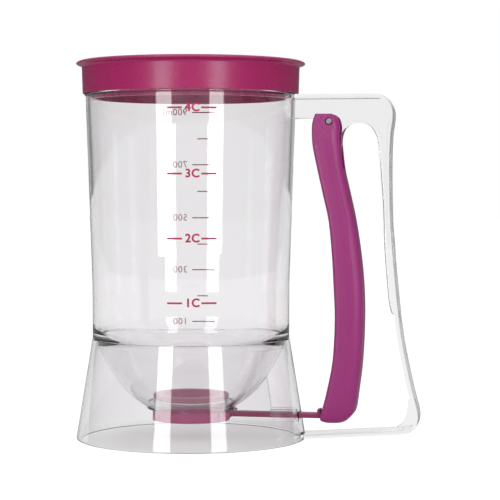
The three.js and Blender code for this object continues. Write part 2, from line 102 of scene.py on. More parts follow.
def edgeAt(line, height):
    # where a line that runs downwards stands at a height
    for (x0, z0), (x1, z1) in zip(line, line[1:]):
        if z1 <= height:
            return x0 + (x1 - x0) * (z0 - height) / (z0 - z1)
    return line[-1][0]


def addObject(add, name, **settings):
    # what an operator adds, named, with nothing else selected
    bpy.ops.object.select_all(action="DESELECT")
    add(**settings)
    thing = bpy.context.active_object
    thing.name = thing.data.name = name
    return thing


def pick(piece):
    bpy.ops.object.select_all(action="DESELECT")
    piece.select_set(True)
    bpy.context.view_layer.objects.active = piece


def settle(piece):
    # the object goes to the origin and its place goes into its mesh
    pick(piece)
    bpy.ops.object.transform_apply(location=True, rotation=True, scale=True)
    return piece


def drawLoop(name, points):
    # a tiny plane is merged to one vertex, which is extruded from point to point
    piece = addObject(bpy.ops.mesh.primitive_plane_add, name, size=mm(1), location=points[0])
    bpy.ops.object.mode_set(mode="EDIT")
    bpy.ops.mesh.select_mode(type="VERT")
    bpy.ops.mesh.merge(type="CENTER")
    for before, after in zip(points, points[1:]):
        bpy.ops.mesh.extrude_vertices_move(TRANSFORM_OT_translate={"value": after - before})
    bpy.ops.mesh.select_all(action="SELECT")
    return piece


def drawFace(name, points):
    # the same, closed and filled
    piece = drawLoop(name, points + points[:1])
    bpy.ops.mesh.remove_doubles(threshold=mm(layout["weld"]))
    bpy.ops.mesh.edge_face_add()
    return piece


def closeMesh(piece, merge=layout["weld"]):
    # doubles are merged and the faces turned outwards
    bpy.ops.mesh.select_all(action="SELECT")
    bpy.ops.mesh.remove_doubles(threshold=mm(merge))
    bpy.ops.mesh.normals_make_consistent(inside=False)
    bpy.ops.object.mode_set(mode="OBJECT")
    return settle(piece)


def turnPiece(name, profile, steps=layout["turnSteps"]):
    # profile: radius and height, round the jug's axis
    loop = profile if profile[0][0] == 0 else profile + profile[:1]
    piece = drawLoop(name, [place(radius, height) for radius, height in loop])
    bpy.ops.mesh.spin(steps=steps, angle=2 * math.pi, center=place(0, 0), axis=(0, 0, 1))
    return closeMesh(piece)


def cutPlate(name, outline, width, middle=0):
    # outline: x and z, given its width along Y about the middle plane
    low = middle - width / 2
    piece = drawFace(name, [place(x, z, low) for x, z in outline])
    bpy.ops.mesh.extrude_region_move(TRANSFORM_OT_translate={"value": (0, mm(width), 0)})
    return closeMesh(piece)


def cutBlock(name, xLow, xHigh, width, zLow, zHigh):
    return settle(addObject(
        bpy.ops.mesh.primitive_cube_add, name, size=1, location=place((xLow + xHigh) / 2, (zLow + zHigh) / 2),
        scale=(mm(xHigh - xLow), mm(width), mm(zHigh - zLow))))


def crossBar(name, x, z, radius, yLow, yHigh, sides=64):
    # a round bar along Y
    return settle(addObject(
        bpy.ops.mesh.primitive_cylinder_add, name, vertices=sides, radius=mm(radius), depth=mm(yHigh - yLow),
        location=place(x, z, (yLow + yHigh) / 2), rotation=(math.pi / 2, 0, 0)))


def modify(piece, kind, **settings):
    change = piece.modifiers.new(kind.title(), kind)
    for name, value in settings.items():
        setattr(change, name, value)
    bpy.context.view_layer.objects.active = piece
    bpy.ops.object.modifier_apply(modifier=change.name)


def combine(piece, operation, *others):
    # joins the other shapes to the piece, or cuts them out
    for other in others:
        modify(piece, "BOOLEAN", object=other, operation=operation, solver="MANIFOLD")
        bpy.data.objects.remove(other)
    return piece


def softenEdges(piece, width, angle, segments=3, clamp=True):
    modify(
        piece, "BEVEL", width=mm(width), segments=segments, limit_method="ANGLE",
        angle_limit=math.radians(angle), use_clamp_overlap=clamp)


def finishPiece(piece, material, body, replaces=(), even=True):
    piece.data.materials.clear()
    piece.data.materials.append(material)
    pick(piece)
    bpy.ops.object.shade_smooth_by_angle(angle=math.radians(layout["crispAngle"]))
    if even:
        # large faces keep their own direction beside a bevel, so reflections and refraction stay straight
        modify(piece, "WEIGHTED_NORMAL", mode="FACE_AREA", weight=100, keep_sharp=True)
    if body:
        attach(piece, body)
    if replaces:
        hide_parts(*replaces)
    return piece


# Materials; a pattern's scale is one over the size of its features

def colour(code):
    # sRGB hex to linear
    parts = [int(code[i:i + 2], 16) / 255 for i in (1, 3, 5)]
    linear = [part / 12.92 if part <= 0.04045 else ((part + 0.055) / 1.055) ** 2.4 for part in parts]
    return (*linear, 1)


def addNode(tree, kind, settings=None, links=None):
    # settings: attributes or input values; links: an input to an output, or to a node for its first output
    node = tree.nodes.new("ShaderNode" + kind)
    for name, value in (settings or {}).items():
        if isinstance(name, str) and hasattr(node, name):
            setattr(node, name, value)
        else:
            node.inputs[name].default_value = value
    for name, source in (links or {}).items():
        output = source.outputs[0] if isinstance(source, bpy.types.Node) else source
        tree.links.new(output, node.inputs[name])
    return node


def newMaterial(name):
    # empty but for the coordinates that its patterns read
    material = bpy.data.materials.new(name)
    material.use_nodes = True
    tree = material.node_tree
    tree.nodes.clear()
    return material, tree, addNode(tree, "TexCoord").outputs["Object"]


def mouldedPlastic(name, base, shade, roughness, orangePeel):
    # opaque injection moulding: even deep colour, satin gloss, a faint orange-peel from the tool
    material, tree, where = newMaterial(name)
    cloud = addNode(tree, "TexNoise", {"Scale": 1 / mm(22), "Detail": 3, "Roughness": 0.5}, {"Vector": where})
    tint = addNode(tree, "MixRGB", {"Color1": colour(base), "Color2": colour(shade)}, {"Fac": cloud})
    haze = addNode(tree, "TexNoise", {"Scale": 1 / mm(6), "Detail": 2}, {"Vector": where})
    gloss = addNode(
        tree, "MapRange", {"To Min": roughness - 0.04, "To Max": roughness + 0.05}, {"Value": haze})
    grain = addNode(tree, "TexNoise", {"Scale": 1 / mm(orangePeel), "Detail": 2}, {"Vector": where})
    bump = addNode(tree, "Bump", {"Strength": 0.12, "Distance": mm(0.05)}, {"Height": grain})
    shader = addNode(
        tree, "BsdfPrincipled", {"IOR": 1.49, "Specular IOR Level": 0.5},
        {"Base Color": tint, "Roughness": gloss, "Normal": bump})
    addNode(tree, "OutputMaterial", {}, {"Surface": shader})
    return material


def clearStyrene(name, tint, lampTint, roughness):
    # polished styrene acrylonitrile: clear with a trace of grey, sharp gloss, slight sink waves.
    # Lamps shine straight through it, so what it holds is lit as behind thin plastic.
    material, tree, where = newMaterial(name)
    wave = addNode(tree, "TexNoise", {"Scale": 1 / mm(16), "Detail": 1, "Roughness": 0.4}, {"Vector": where})
    bump = addNode(tree, "Bump", {"Strength": 0.12, "Distance": mm(0.35)}, {"Height": wave})
    haze = addNode(tree, "TexNoise", {"Scale": 1 / mm(9), "Detail": 3}, {"Vector": where})
    gloss = addNode(
        tree, "MapRange", {"To Min": roughness * 0.4, "To Max": roughness * 1.6}, {"Value": haze})
    shader = addNode(
        tree, "BsdfPrincipled", {"Base Color": colour(tint), "IOR": 1.57, "Transmission Weight": 1},
        {"Roughness": gloss, "Normal": bump})
    lampView = addNode(tree, "BsdfTransparent", {"Color": colour(lampTint)})
    rays = addNode(tree, "LightPath").outputs
    lampRay = addNode(
        tree, "Math", {"operation": "MAXIMUM"}, {0: rays["Is Shadow Ray"], 1: rays["Is Diffuse Ray"]})
    mix = addNode(tree, "MixShader", {}, {0: lampRay, 1: shader, 2: lampView})
    addNode(tree, "OutputMaterial", {}, {"Surface": mix})
    return material


def turnedSteel(name, base, roughness):
    # stainless steel off the lathe: bright, with tool rings drawn coarser than real ones to show
    material, tree, where = newMaterial(name)
    centred = addNode(
        tree, "Mapping", {"Location": (-mm(layout["pivotX"] + layout["jugX"]), 0, -mm(layout["pivotZ"]))},
        {"Vector": where})
    rings = addNode(
        tree, "TexWave",
        {"wave_type": "RINGS", "rings_direction": "Y", "Scale": 1 / mm(2.4), "Distortion": 0.4},
        {"Vector": centred}).outputs["Fac"]
    gloss = addNode(tree, "MapRange", {"To Min": roughness, "To Max": roughness + 0.14}, {"Value": rings})
    bump = addNode(tree, "Bump", {"Strength": 0.15, "Distance": mm(0.02)}, {"Height": rings})
    shader = addNode(
        tree, "BsdfPrincipled", {"Base Color": colour(base), "Metallic": 1},
        {"Roughness": gloss, "Normal": bump})
    addNode(tree, "OutputMaterial", {}, {"Surface": shader})
    return material


def drawnWire(name, base, roughness):
    # spring wire pulled through a die: darker steel, its fine draw marks a sheen coarse enough to show
    material, tree, where = newMaterial(name)
    drawMarks = addNode(tree, "TexNoise", {"Scale": 1 / mm(0.6), "Detail": 3}, {"Vector": where})
    gloss = addNode(
        tree, "MapRange", {"To Min": roughness - 0.06, "To Max": roughness + 0.1}, {"Value": drawMarks})
    shader = addNode(
        tree, "BsdfPrincipled", {"Base Color": colour(base), "Metallic": 1}, {"Roughness": gloss})
    addNode(tree, "OutputMaterial", {}, {"Surface": shader})
    return material


def siliconeRubber(name, base):
    # moulded silicone: milky and soft, dull sheen
    material, tree, where = newMaterial(name)
    cloud = addNode(tree, "TexNoise", {"Scale": 1 / mm(3), "Detail": 2}, {"Vector": where})
    gloss = addNode(tree, "MapRange", {"To Min": 0.5, "To Max": 0.65}, {"Value": cloud})
    bump = addNode(tree, "Bump", {"Strength": 0.1, "Distance": mm(0.05)}, {"Height": cloud})
    shader = addNode(
        tree, "BsdfPrincipled",
        {"Base Color": colour(base), "IOR": 1.41, "Subsurface Weight": 0.15,
         "Subsurface Radius": (mm(1), mm(1), mm(1))},
        {"Roughness": gloss, "Normal": bump})
    addNode(tree, "OutputMaterial", {}, {"Surface": shader})
    return material


def screenInk(name, base, thin):
    # screen-printed ink: flat crimson, slightly uneven where the film is thin
    material, tree, where = newMaterial(name)
    film = addNode(tree, "TexNoise", {"Scale": 1 / mm(0.9), "Detail": 3}, {"Vector": where})
    body = addNode(tree, "MapRange", {"From Min": 0.35, "From Max": 0.65}, {"Value": film})
    tint = addNode(tree, "MixRGB", {"Color1": colour(thin), "Color2": colour(base)}, {"Fac": body})
    shader = addNode(tree, "BsdfPrincipled", {"Roughness": 0.45}, {"Base Color": tint})
    addNode(tree, "OutputMaterial", {}, {"Surface": shader})
    return material


# name, colour, its shade or its look to a lamp, roughness and the grain's size in millimetres
clearPlastic = clearStyrene("clear moulded SAN", "#FBFAFB", "#F3F2F3", 0.02)
lidPlastic = mouldedPlastic("magenta moulded PP lid", "#9E1E5B", "#941C55", 0.27, 1.6)
leverPlastic = mouldedPlastic("magenta moulded PP lever", "#962671", "#8E246B", 0.34, 1.4)
rodPlastic = mouldedPlastic("dark magenta moulded PP rod", "#8F245A", "#852052", 0.4, 1.2)
valvePlastic = mouldedPlastic("magenta moulded PP valve", "#A83270", "#9E2E68", 0.36, 1.4)
pinMetal = turnedSteel("turned stainless steel", "#8E8A90", 0.3)
springMetal = drawnWire("drawn spring steel", "#8C8E92", 0.34)
gasketRubber = siliconeRubber("moulded silicone", "#D8D4D0")
markInk = screenInk("crimson screen ink", "#A31340", "#B12A53")
print("made the materials")


# Hopper: jar, bowl and collar in one moulding

hopper = {
    "rimHeight": 185.7, "rimRadius": 52.9, "waistRadius": 49.15, "taperHeight": 76, "wall": 2,
    "flare": [(0, -6), (0.04, 0), (0.24, 7)],   # how the straight foot turns into the taper: out and up
    "shoulderHeight": 50.3, "spigotRadius": 46.8, "spigotFoot": 46.5,
    "bowlFootHeight": 16.2, "bowlFootRadius": 22.6, "lipDrop": 1.2, "lipInset": 0.5,
    "floorUnder": 14.4, "floorRadius": 19.8, "floorThickness": 2.4,
    "collarBore": 16.5, "collarRadius": 18.7, "collarTop": 18.9,
    "ribReach": 40.8, "ribDraft": 2.6, "ribThickness": 1.6,
    "bowlShares": [(0.2, 0.11), (0.4, 0.25), (0.6, 0.44), (0.81, 0.71)], "bowlSteps": 28,
    # a fine bead round the jar just under the lid's band: steps out and up from its middle
    "beadHeight": 171.2, "bead": [
        (0, -0.9), (0.09, -0.7), (0.24, -0.55), (0.4, -0.4), (0.55, -0.2), (0.6, 0), (0.55, 0.2),
        (0.4, 0.4), (0.24, 0.55), (0.09, 0.7), (0, 0.9)],
    # the rounded inside of the ledge: steps in and up from the ledge's corner
    "shoulderInside": [(0, 7.5), (0.2, 4.4), (0.95, 1.4), (2.3, -1.9)], "shoulderSteps": 24,
    "edgeRound": 0.14,
}


def bowlLine():
    # the bowl's outside, from the foot up to the spigot
    radius, height = hopper["bowlFootRadius"], hopper["bowlFootHeight"]
    spread, rise = hopper["spigotRadius"] - radius, hopper["spigotFoot"] - height
    points = [(radius + spread * out, height + rise * up) for out, up in hopper["bowlShares"]]
    return smoothLine(
        [(radius, height), *points, (hopper["spigotRadius"], hopper["spigotFoot"])], hopper["bowlSteps"])


def makeHopper():
    h = hopper
    waist, wall, under = h["waistRadius"], h["wall"], h["floorUnder"]
    line = bowlLine()
    inside = offsetLine(line, wall)
    floorTop = under + h["floorThickness"]
    flare = [(waist + out, h["taperHeight"] + up) for out, up in h["flare"]]
    lowRadius, lowHeight = flare[-1]
    taper = (h["rimRadius"] - lowRadius) / (h["rimHeight"] - lowHeight)
    bead = []
    for out, up in h["bead"]:
        height = h["beadHeight"] + up
        bead.append((lowRadius + taper * (height - lowHeight) + out, height))
    shoulder = [(waist - wall - out, h["shoulderHeight"] + up) for out, up in h["shoulderInside"]]
    profile = [
        (h["collarBore"], under), (h["floorRadius"], under),
        (h["bowlFootRadius"] - h["lipInset"], h["bowlFootHeight"] - h["lipDrop"]),
        *line,
        (h["spigotRadius"], h["shoulderHeight"]), (waist, h["shoulderHeight"]),
        *flare,
        *bead,
        (h["rimRadius"], h["rimHeight"]), (h["rimRadius"] - wall, h["rimHeight"]),
        *[(radius - wall, height) for radius, height in reversed(flare)],
        *smoothLine(shoulder + [inside[-2]], h["shoulderSteps"])[:-1],
        *reversed(inside[:-1]),
        (h["collarRadius"], floorTop), (h["collarRadius"], h["collarTop"]),
        (h["collarBore"], h["collarTop"]),
    ]
    piece = turnPiece("hopper_shell", profile)
    softenEdges(piece, h["edgeRound"], angle=28)
    # the thin rib over the pull rod starts inside the bowl's wall
    middle = offsetLine(line, wall / 2)
    low = [point for point in middle if h["ribReach"] - h["ribDraft"] > point[0]]
    rib = cutPlate("rib", [
        *low,
        (h["ribReach"] - h["ribDraft"], low[-1][1]), (h["ribReach"], under),
        (low[0][0], under),
    ], h["ribThickness"])
    combine(piece, "UNION", rib)
    return finishPiece(piece, clearPlastic, "jug", ["hopper"])


hopperPiece = makeHopper()
print("made the hopper")


# Base skirt, with a slot for the pull rod and a cheek on each side of it

skirt = {
    "footRadius": 57.45, "topRadius": 49.3, "topHeight": 50, "wall": 2.2,
    "footRound": 0.9, "footShares": (0.35, 0.3),   # the foot's rounded edge, and its middle point
    "cheekReach": 40.5, "cheekPlate": 1.6, "cheekLap": 1.8, "cheekRound": 0.3,
    "rodLow": 11.4, "rodHigh": 13.8,
    "slotWidth": 7.4, "slotInset": 4, "slideGap": 0.3, "edgeRound": 0.16,
}


def makeSkirt():
    s = skirt
    foot, edge, wall = s["footRadius"], s["footRound"], s["wall"]
    slope = (foot - s["topRadius"]) / s["topHeight"]
    lowRadius = foot - slope * edge
    inShare, upShare = s["footShares"]
    piece = turnPiece("skirt_shell", [
        (foot - edge, 0), (foot - edge * inShare, edge * upShare), (lowRadius, edge),
        (s["topRadius"], s["topHeight"]), (s["topRadius"] - wall, s["topHeight"]),
        (lowRadius - wall, edge), (foot - wall, 0),
    ])
    softenEdges(piece, s["edgeRound"], segments=2, angle=50)
    zLow, zHigh = s["rodLow"] - s["cheekLap"], s["rodHigh"] + s["cheekLap"]
    for side in (-1, 1):
        middle = side * (s["slotWidth"] + s["cheekPlate"]) / 2
        reachLow = foot - slope * zLow - wall / 2
        reachHigh = foot - slope * zHigh - wall / 2
        cheek = cutPlate("cheek", [
            (s["cheekReach"], zLow), (reachLow, zLow), (reachHigh, zHigh), (s["cheekReach"], zHigh),
        ], s["cheekPlate"], middle)
        softenEdges(cheek, s["cheekRound"], segments=2, angle=40)
        combine(piece, "UNION", cheek)
    slot = cutBlock(
        "slot", s["cheekReach"] + s["slotInset"], foot + layout["overrun"], s["slotWidth"],
        s["rodLow"] - s["slideGap"], s["rodHigh"] + s["slideGap"])
    combine(piece, "DIFFERENCE", slot)
    finishPiece(piece, clearPlastic, "jug", ["base_skirt"])


makeSkirt()
print("made the base skirt")


# Lid: a recessed floor with a plug ring inside the jar and a band outside it

lid = {
    "ceiling": 186, "top": 187.8, "bandFoot": 171.8, "bandInner": 53.2, "bandWall": 1, "bandTaper": 0.4,
    "throat": 1.2, "throatSpread": 0.5,   # how the band widens into the flange
    "flangeRadius": 57, "lipReach": 0.7, "lipLow": 0.4, "lipHigh": 1,
    "plugTop": 50.6, "plugFoot": 49.1, "plugWall": 1.7, "plugFootHeight": 169.1,
    "floorUnder": 176.3, "floorTop": 177.9, "edgeRound": 0.35,
}


def makeLid():
    bandOuter = lid["bandInner"] + lid["bandWall"]
    plugInner = lid["plugFoot"] - lid["plugWall"]
    spread, reach = lid["throatSpread"], lid["lipReach"]
    ceiling, flange = lid["ceiling"], lid["flangeRadius"]
    piece = turnPiece("lid_cover", [
        (0, lid["floorUnder"]), (plugInner, lid["floorUnder"]),
        (plugInner, lid["plugFootHeight"]), (lid["plugFoot"], lid["plugFootHeight"]),
        (lid["plugTop"], ceiling), (lid["bandInner"], ceiling),
        (lid["bandInner"], lid["bandFoot"]), (bandOuter - lid["bandTaper"], lid["bandFoot"]),
        (bandOuter, ceiling - lid["throat"]), (bandOuter + spread, ceiling - spread),
        (flange - reach, ceiling), (flange, ceiling + lid["lipLow"]),
        (flange, ceiling + lid["lipHigh"]), (flange - 2 * reach, lid["top"]),
        (lid["plugTop"] - lid["plugWall"], lid["top"]),
        (plugInner, lid["floorTop"]), (0, lid["floorTop"]),
    ])
    softenEdges(piece, lid["edgeRound"], angle=28)
    finishPiece(piece, lidPlastic, "lid", ["lid"])


makeLid()
print("made the lid")


# Handle frame: a bent strip, with a web in its upper part and a gusset in its lower corner

handle = {
    "rimRadius": 52.9, "depth": 61.3, "topHeight": 171, "footHeight": 1.7, "webTail": 159.3,
    "root": 44,                       # where the strip starts, inside the room cut for the jar
    "stripWidth": 17, "stripThickness": 1.9, "webThickness": 2,
    "edgeRound": 0.7, "webRound": 0.88, "gussetRound": 0.4,
    "skirtFootRadius": 57.6, "pinHole": 1.75, "holeReach": 12,
    "peg": (74.6, 146.4, 1.1, 4.2),   # x, height, radius and reach of the spring's peg
    "pegSides": 32, "outerSteps": 228, "archSteps": 170, "gussetSteps": 16,
    # shares of the depth and of the top's height
    "outer": [
        (0.55, 1), (0.681, 0.999), (0.721, 0.993), (0.758, 0.979), (0.788, 0.957), (0.793, 0.93),
        (0.776, 0.884), (0.769, 0.82), (0.769, 0.74), (0.776, 0.64), (0.795, 0.55), (0.819, 0.45),
        (0.86, 0.32), (0.909, 0.225), (0.955, 0.15), (0.987, 0.108), (1, 0.078), (0.987, 0.053),
        (0.948, 0.036), (0.87, 0.0295)],
    "arch": [
        (0.38, 0.8), (0.38, 0.861), (0.393, 0.889), (0.421, 0.906), (0.464, 0.917), (0.518, 0.9195),
        (0.575, 0.914), (0.62, 0.902), (0.652, 0.879), (0.672, 0.84), (0.693, 0.75), (0.708, 0.67),
        (0.715, 0.58), (0.728, 0.51), (0.75, 0.42), (0.767, 0.382), (0.784, 0.37), (0.808, 0.366)],
    "webLeg": [(0.231, 0.93), (0.231, 0.86), (0.29, 0.797)],
    "gusset": [(0.916, 0.125), (0.901, 0.085), (0.87, 0.06), (0.823, 0.046)],
}


def pinHole(radius, reach):
    return crossBar("pin_hole", layout["pivotX"], layout["pivotZ"], radius, -reach, reach)


def handlePoints(shares):
    return [
        (handle["rimRadius"] + out * handle["depth"], up * handle["topHeight"]) for out, up in shares]


def makeHandle():
    h = handle
    root, gap, overrun = h["root"], layout["seatGap"], layout["overrun"]
    side = smoothLine(handlePoints(h["outer"]), h["outerSteps"])
    foot = side[-1]
    slope = (foot[1] - h["footHeight"]) / (foot[0] - h["skirtFootRadius"])
    outer = [(root, h["topHeight"]), *side, (root, h["footHeight"] - slope * (h["skirtFootRadius"] - root))]
    inner = offsetLine(outer, -h["stripThickness"])
    piece = cutPlate("handle_strip", [*outer, *reversed(inner)], h["stripWidth"])
    softenEdges(piece, h["edgeRound"], segments=5, angle=60)

    middle = offsetLine(side, -h["stripThickness"] / 2)
    arch = smoothLine(handlePoints(h["arch"]), h["archSteps"])
    leg = handlePoints(h["webLeg"])
    web = cutPlate("web", [
        (root, h["topHeight"] - h["stripThickness"] / 2),
        *[point for point in middle if point[1] > arch[-1][1]],
        *reversed(arch),
        *reversed(leg),
        (leg[0][0], h["webTail"]), (root, h["webTail"]),
    ], h["webThickness"])
    softenEdges(web, h["webRound"], segments=5, angle=60, clamp=False)

    edge = handlePoints(h["gusset"])
    corner = [point for point in middle if point[1] < edge[0][1] and point[0] > edge[-1][0]]
    gusset = cutPlate("gusset", [*corner, *reversed(smoothLine(edge, h["gussetSteps"]))], h["webThickness"])
    softenEdges(gusset, h["gussetRound"], angle=60)
    pegX, pegZ, pegRadius, pegEnd = h["peg"]
    peg = crossBar("peg", pegX, pegZ, pegRadius, 0, pegEnd, h["pegSides"])
    combine(piece, "UNION", web, gusset, peg)

    # both ends stand just clear of the jar and of the skirt
    hole = pinHole(h["pinHole"], h["holeReach"])
    jarRoom = turnPiece("jar_room", [
        (0, hopper["shoulderHeight"]), (hopper["waistRadius"] + gap, hopper["shoulderHeight"]),
        (hopper["waistRadius"] + gap, hopper["taperHeight"]),
        (hopper["rimRadius"] + gap, hopper["rimHeight"]), (0, hopper["rimHeight"]),
    ])
    lowSlope = (h["skirtFootRadius"] - skirt["topRadius"]) / skirt["topHeight"]
    skirtRoom = turnPiece("skirt_room", [
        (0, -overrun), (h["skirtFootRadius"] + lowSlope * overrun + gap, -overrun),
        (skirt["topRadius"] + gap, skirt["topHeight"]), (0, skirt["topHeight"]),
    ])
    combine(piece, "DIFFERENCE", hole, jarRoom, skirtRoom)
    finishPiece(piece, clearPlastic, "jug", ["handle_frame"])


makeHandle()
print("made the handle frame")


# Squeeze lever

lever = {
    "top": 161.4, "foot": 9.3, "bow": 16.6, "width": 17.6, "frontWall": 2.4, "backWall": 2.2,
    # the open channel at the top holds the web and the spring, and a closed hollow lies below it
    "channelWidth": 10.4, "channelReach": 23.2, "channelBack": 33, "bridge": 4, "webRoomFoot": 158.1,
    "hollowFoot": 17, "headRoomRise": 4.4, "edgeRound": 0.3,
    "rings": 64, "plainSteps": 30,   # of the lofted grip, and of the line that places the rod
    # half of the cross-section from front to back: shares of the depth and of the width
    "half": [
        (-0.5, 0.36), (-0.492, 0.42), (-0.47, 0.465), (-0.43, 0.49), (-0.38, 0.4985), (-0.3, 0.5),
        (-0.1, 0.5), (0, 0.4985), (0.08, 0.494), (0.16, 0.486), (0.236, 0.4755), (0.25, 0.472),
        (0.36, 0.434), (0.44, 0.4), (0.485, 0.36), (0.5, 0.32)],
    # from top to foot: the front edge's offset from the pivot and its height, the back edge's, the width
    "sections": [
        (-0.415, 1, 0.072, 1, 0.92), (-0.47, 0.985, 0.229, 0.987, 0.98),
        (-0.512, 0.964, 0.295, 0.963, 1), (-0.518, 0.932, 0.301, 0.932, 1),
        (-0.488, 0.892, 0.319, 0.899, 1), (-0.349, 0.819, 0.398, 0.823, 1),
        (-0.175, 0.734, 0.566, 0.741, 1), (-0.018, 0.656, 0.729, 0.659, 1),
        (0.078, 0.55, 0.88, 0.554, 1), (0.133, 0.445, 0.976, 0.448, 1),
        (0.169, 0.335, 1, 0.337, 1), (0.108, 0.206, 0.946, 0.205, 1),
        (-0.06, 0.108, 0.843, 0.11, 1), (-0.205, 0.045, 0.765, 0.051, 1),
        (-0.271, 0.018, 0.675, 0.028, 0.96), (-0.229, 0.007, 0.494, 0.009, 0.84),
        (-0.084, 0.001, 0.313, 0.001, 0.6)],
    "pinHole": 1.75, "holeReach": 15, "recess": 2.1, "recessDepth": 0.6,
    "seamShare": 0.743, "seamTop": 145.6, "seamFoot": 100, "seamWidth": 0.3, "seamDepth": 0.64,
    "headStep": 0.3, "headEdge": 0.28, "crownDrop": 1, "crownSteps": 30,
    "crown": [(62.6, 145.6), (64.6, 146.9), (66.3, 148.2), (68.8, 148.9), (71, 148.1), (72.3, 145.6)],
    "dishRadius": 4.5, "dishDepth": 0.3, "dishRoundShare": 0.9,
    "sideReach": 2,   # how far a side cut starts outside the face
}


def leverLines(steps):
    # the front edge, the back edge and the widths from top to foot
    length = lever["top"] - lever["foot"]
    rows = smoothLine(lever["sections"], steps)
    front, back = [
        [(layout["pivotX"] + row[i] * lever["bow"], lever["foot"] + row[i + 1] * length) for row in rows]
        for i in (0, 2)]
    return front, back, [row[4] * lever["width"] for row in rows]


def drawSection(name, middle, depth, width):
    half = lever["half"]
    around = half + [(along, -across) for along, across in reversed(half)]
    return drawFace(name, [
        middle + Vector((along * depth, across * width, 0)) for along, across in around])


def loftLever():
    # the section is extruded down the grip, and each ring is turned and sized to its place
    front, back, widths = leverLines(lever["rings"])
    middles, tilts, depths = [], [], []
    for (frontX, frontZ), (backX, backZ) in zip(front, back):
        middles.append(place((frontX + backX) / 2, (frontZ + backZ) / 2))
        tilts.append(math.atan2(backZ - frontZ, backX - frontX))
        depths.append(mm(math.hypot(backX - frontX, backZ - frontZ)))
    piece = drawSection("lever_grip", middles[0], depths[0], mm(widths[0]))
    bpy.ops.transform.rotate(value=tilts[0], orient_axis="Y", center_override=middles[0])
    for i in range(1, len(middles)):
        bpy.ops.mesh.extrude_region_move(TRANSFORM_OT_translate={"value": middles[i] - middles[i - 1]})
        bpy.ops.transform.rotate(value=-tilts[i - 1], orient_axis="Y", center_override=middles[i])
        bpy.ops.transform.resize(
            value=(depths[i] / depths[i - 1], widths[i] / widths[i - 1], 1), center_override=middles[i])
        bpy.ops.transform.rotate(value=tilts[i], orient_axis="Y", center_override=middles[i])
    return closeMesh(piece), front, back


def cutLever(piece, front, back):
    # the channel with room for the web, the hollow, and the notch for the rod and its head
    l = lever
    pivotX, width, bow = layout["pivotX"], l["channelWidth"], l["bow"]
    frontWall = offsetLine(front, l["frontWall"])
    backWall = offsetLine(back, -l["backWall"])
    channelFoot = layout["pivotZ"] - l["channelReach"]
    top, channelBack = l["top"] + layout["overrun"], pivotX + l["channelBack"]
    channel = cutPlate("channel", [
        (frontWall[0][0], top),
        *[point for point in frontWall if point[1] > channelFoot],
        (edgeAt(frontWall, channelFoot), channelFoot), (channelBack, channelFoot),
        (channelBack, top),
    ], width)
    webRoom = cutBlock("web_room", pivotX - bow, pivotX + bow, width, l["webRoomFoot"], top)
    low, high = l["hollowFoot"], channelFoot - l["bridge"]
    hollow = cutPlate("hollow", [
        (edgeAt(frontWall, high), high),
        *[point for point in frontWall if low < point[1] < high],
        (edgeAt(frontWall, low), low), (edgeAt(backWall, low), low),
        *reversed([point for point in backWall if low < point[1] < high]),
        (edgeAt(backWall, high), high),
    ], width)
    play = rod["play"]
    start, end, rodWidth = rod["lugFace"] - layout["overrun"], rod["headEnd"] + play, rod["width"] + 2 * play
    rodRoom = cutBlock("rod_room", start, end, rodWidth, 0, rod["high"] + play)
    headRoom = cutBlock(
        "head_room", rod["headFace"] - play, end, rodWidth, 0, rod["high"] + l["headRoomRise"])
    combine(piece, "DIFFERENCE", channel, webRoom, hollow, rodRoom, headRoom)


def trimLever(piece, front, back):
    # on each side: a thinner head down to a round crown, a seam below it, a dish and a recess for the pin
    l = lever
    pivotX, pivotZ = layout["pivotX"], layout["pivotZ"]
    face, reach, share, half = l["width"] / 2, l["sideReach"], l["seamShare"], l["seamWidth"] / 2
    line = [
        (f[0] + (b[0] - f[0]) * share, f[1] + (b[1] - f[1]) * share)
        for f, b in zip(front, back) if l["seamFoot"] < f[1] < l["seamTop"]]
    groove = offsetLine(line, half) + list(reversed(offsetLine(line, -half)))
    crown = smoothLine(l["crown"], l["crownSteps"])
    left, right, top = pivotX - l["bow"], pivotX + l["bow"], l["top"] + layout["overrun"]
    head = [
        (left, top), (left, crown[0][1] - l["crownDrop"]), *crown,
        (right, crown[-1][1] - l["crownDrop"]), (right, top)]
    dishFloor = face - l["headStep"] - l["dishDepth"]
    for side in (-1, 1):
        step = cutPlate("head_step", head, 2 * reach, side * (face - l["headStep"] + reach))
        softenEdges(step, l["headEdge"], segments=2, angle=50)
        seam = cutPlate("seam", groove, 2 * reach, side * (face - l["seamDepth"] + reach))
        dish, recess = [
            crossBar(name, pivotX, pivotZ, radius, *sorted((side * floor, side * (face + reach))))
            for name, radius, floor in (
                ("dish", l["dishRadius"], dishFloor), ("recess", l["recess"], dishFloor - l["recessDepth"]))]
        softenEdges(dish, l["dishDepth"] * l["dishRoundShare"], segments=2, angle=50)
        combine(piece, "DIFFERENCE", step, seam, dish, recess)
    combine(piece, "DIFFERENCE", pinHole(l["pinHole"], l["holeReach"]))


# the gate and its rod, which the lever's notch follows
rod = {
    "low": 11.4, "high": 13.8, "width": 6.8, "gateHalf": 9.9, "gateWidth": 20, "barStart": 5,
    "play": 0.6, "lugLength": 1.6, "lugHeight": 2.1, "headLength": 2.2, "headHeight": 3.2,
    "edgeRound": 0.35,
}
leverFront = leverLines(lever["plainSteps"])[0]
rod["lugFace"] = edgeAt(leverFront, rod["high"]) - rod["play"]
rod["headFace"] = edgeAt(leverFront, rod["high"] + rod["headHeight"]) + lever["frontWall"] + rod["play"]
rod["headEnd"] = rod["headFace"] + rod["headLength"]

leverPiece, front, back = loftLever()
cutLever(leverPiece, front, back)
softenEdges(leverPiece, lever["edgeRound"], segments=2, angle=50)
trimLever(leverPiece, front, back)
finishPiece(leverPiece, leverPlastic, "lever", ["squeeze_lever"])
print("made the squeeze lever")


# Pivot pin

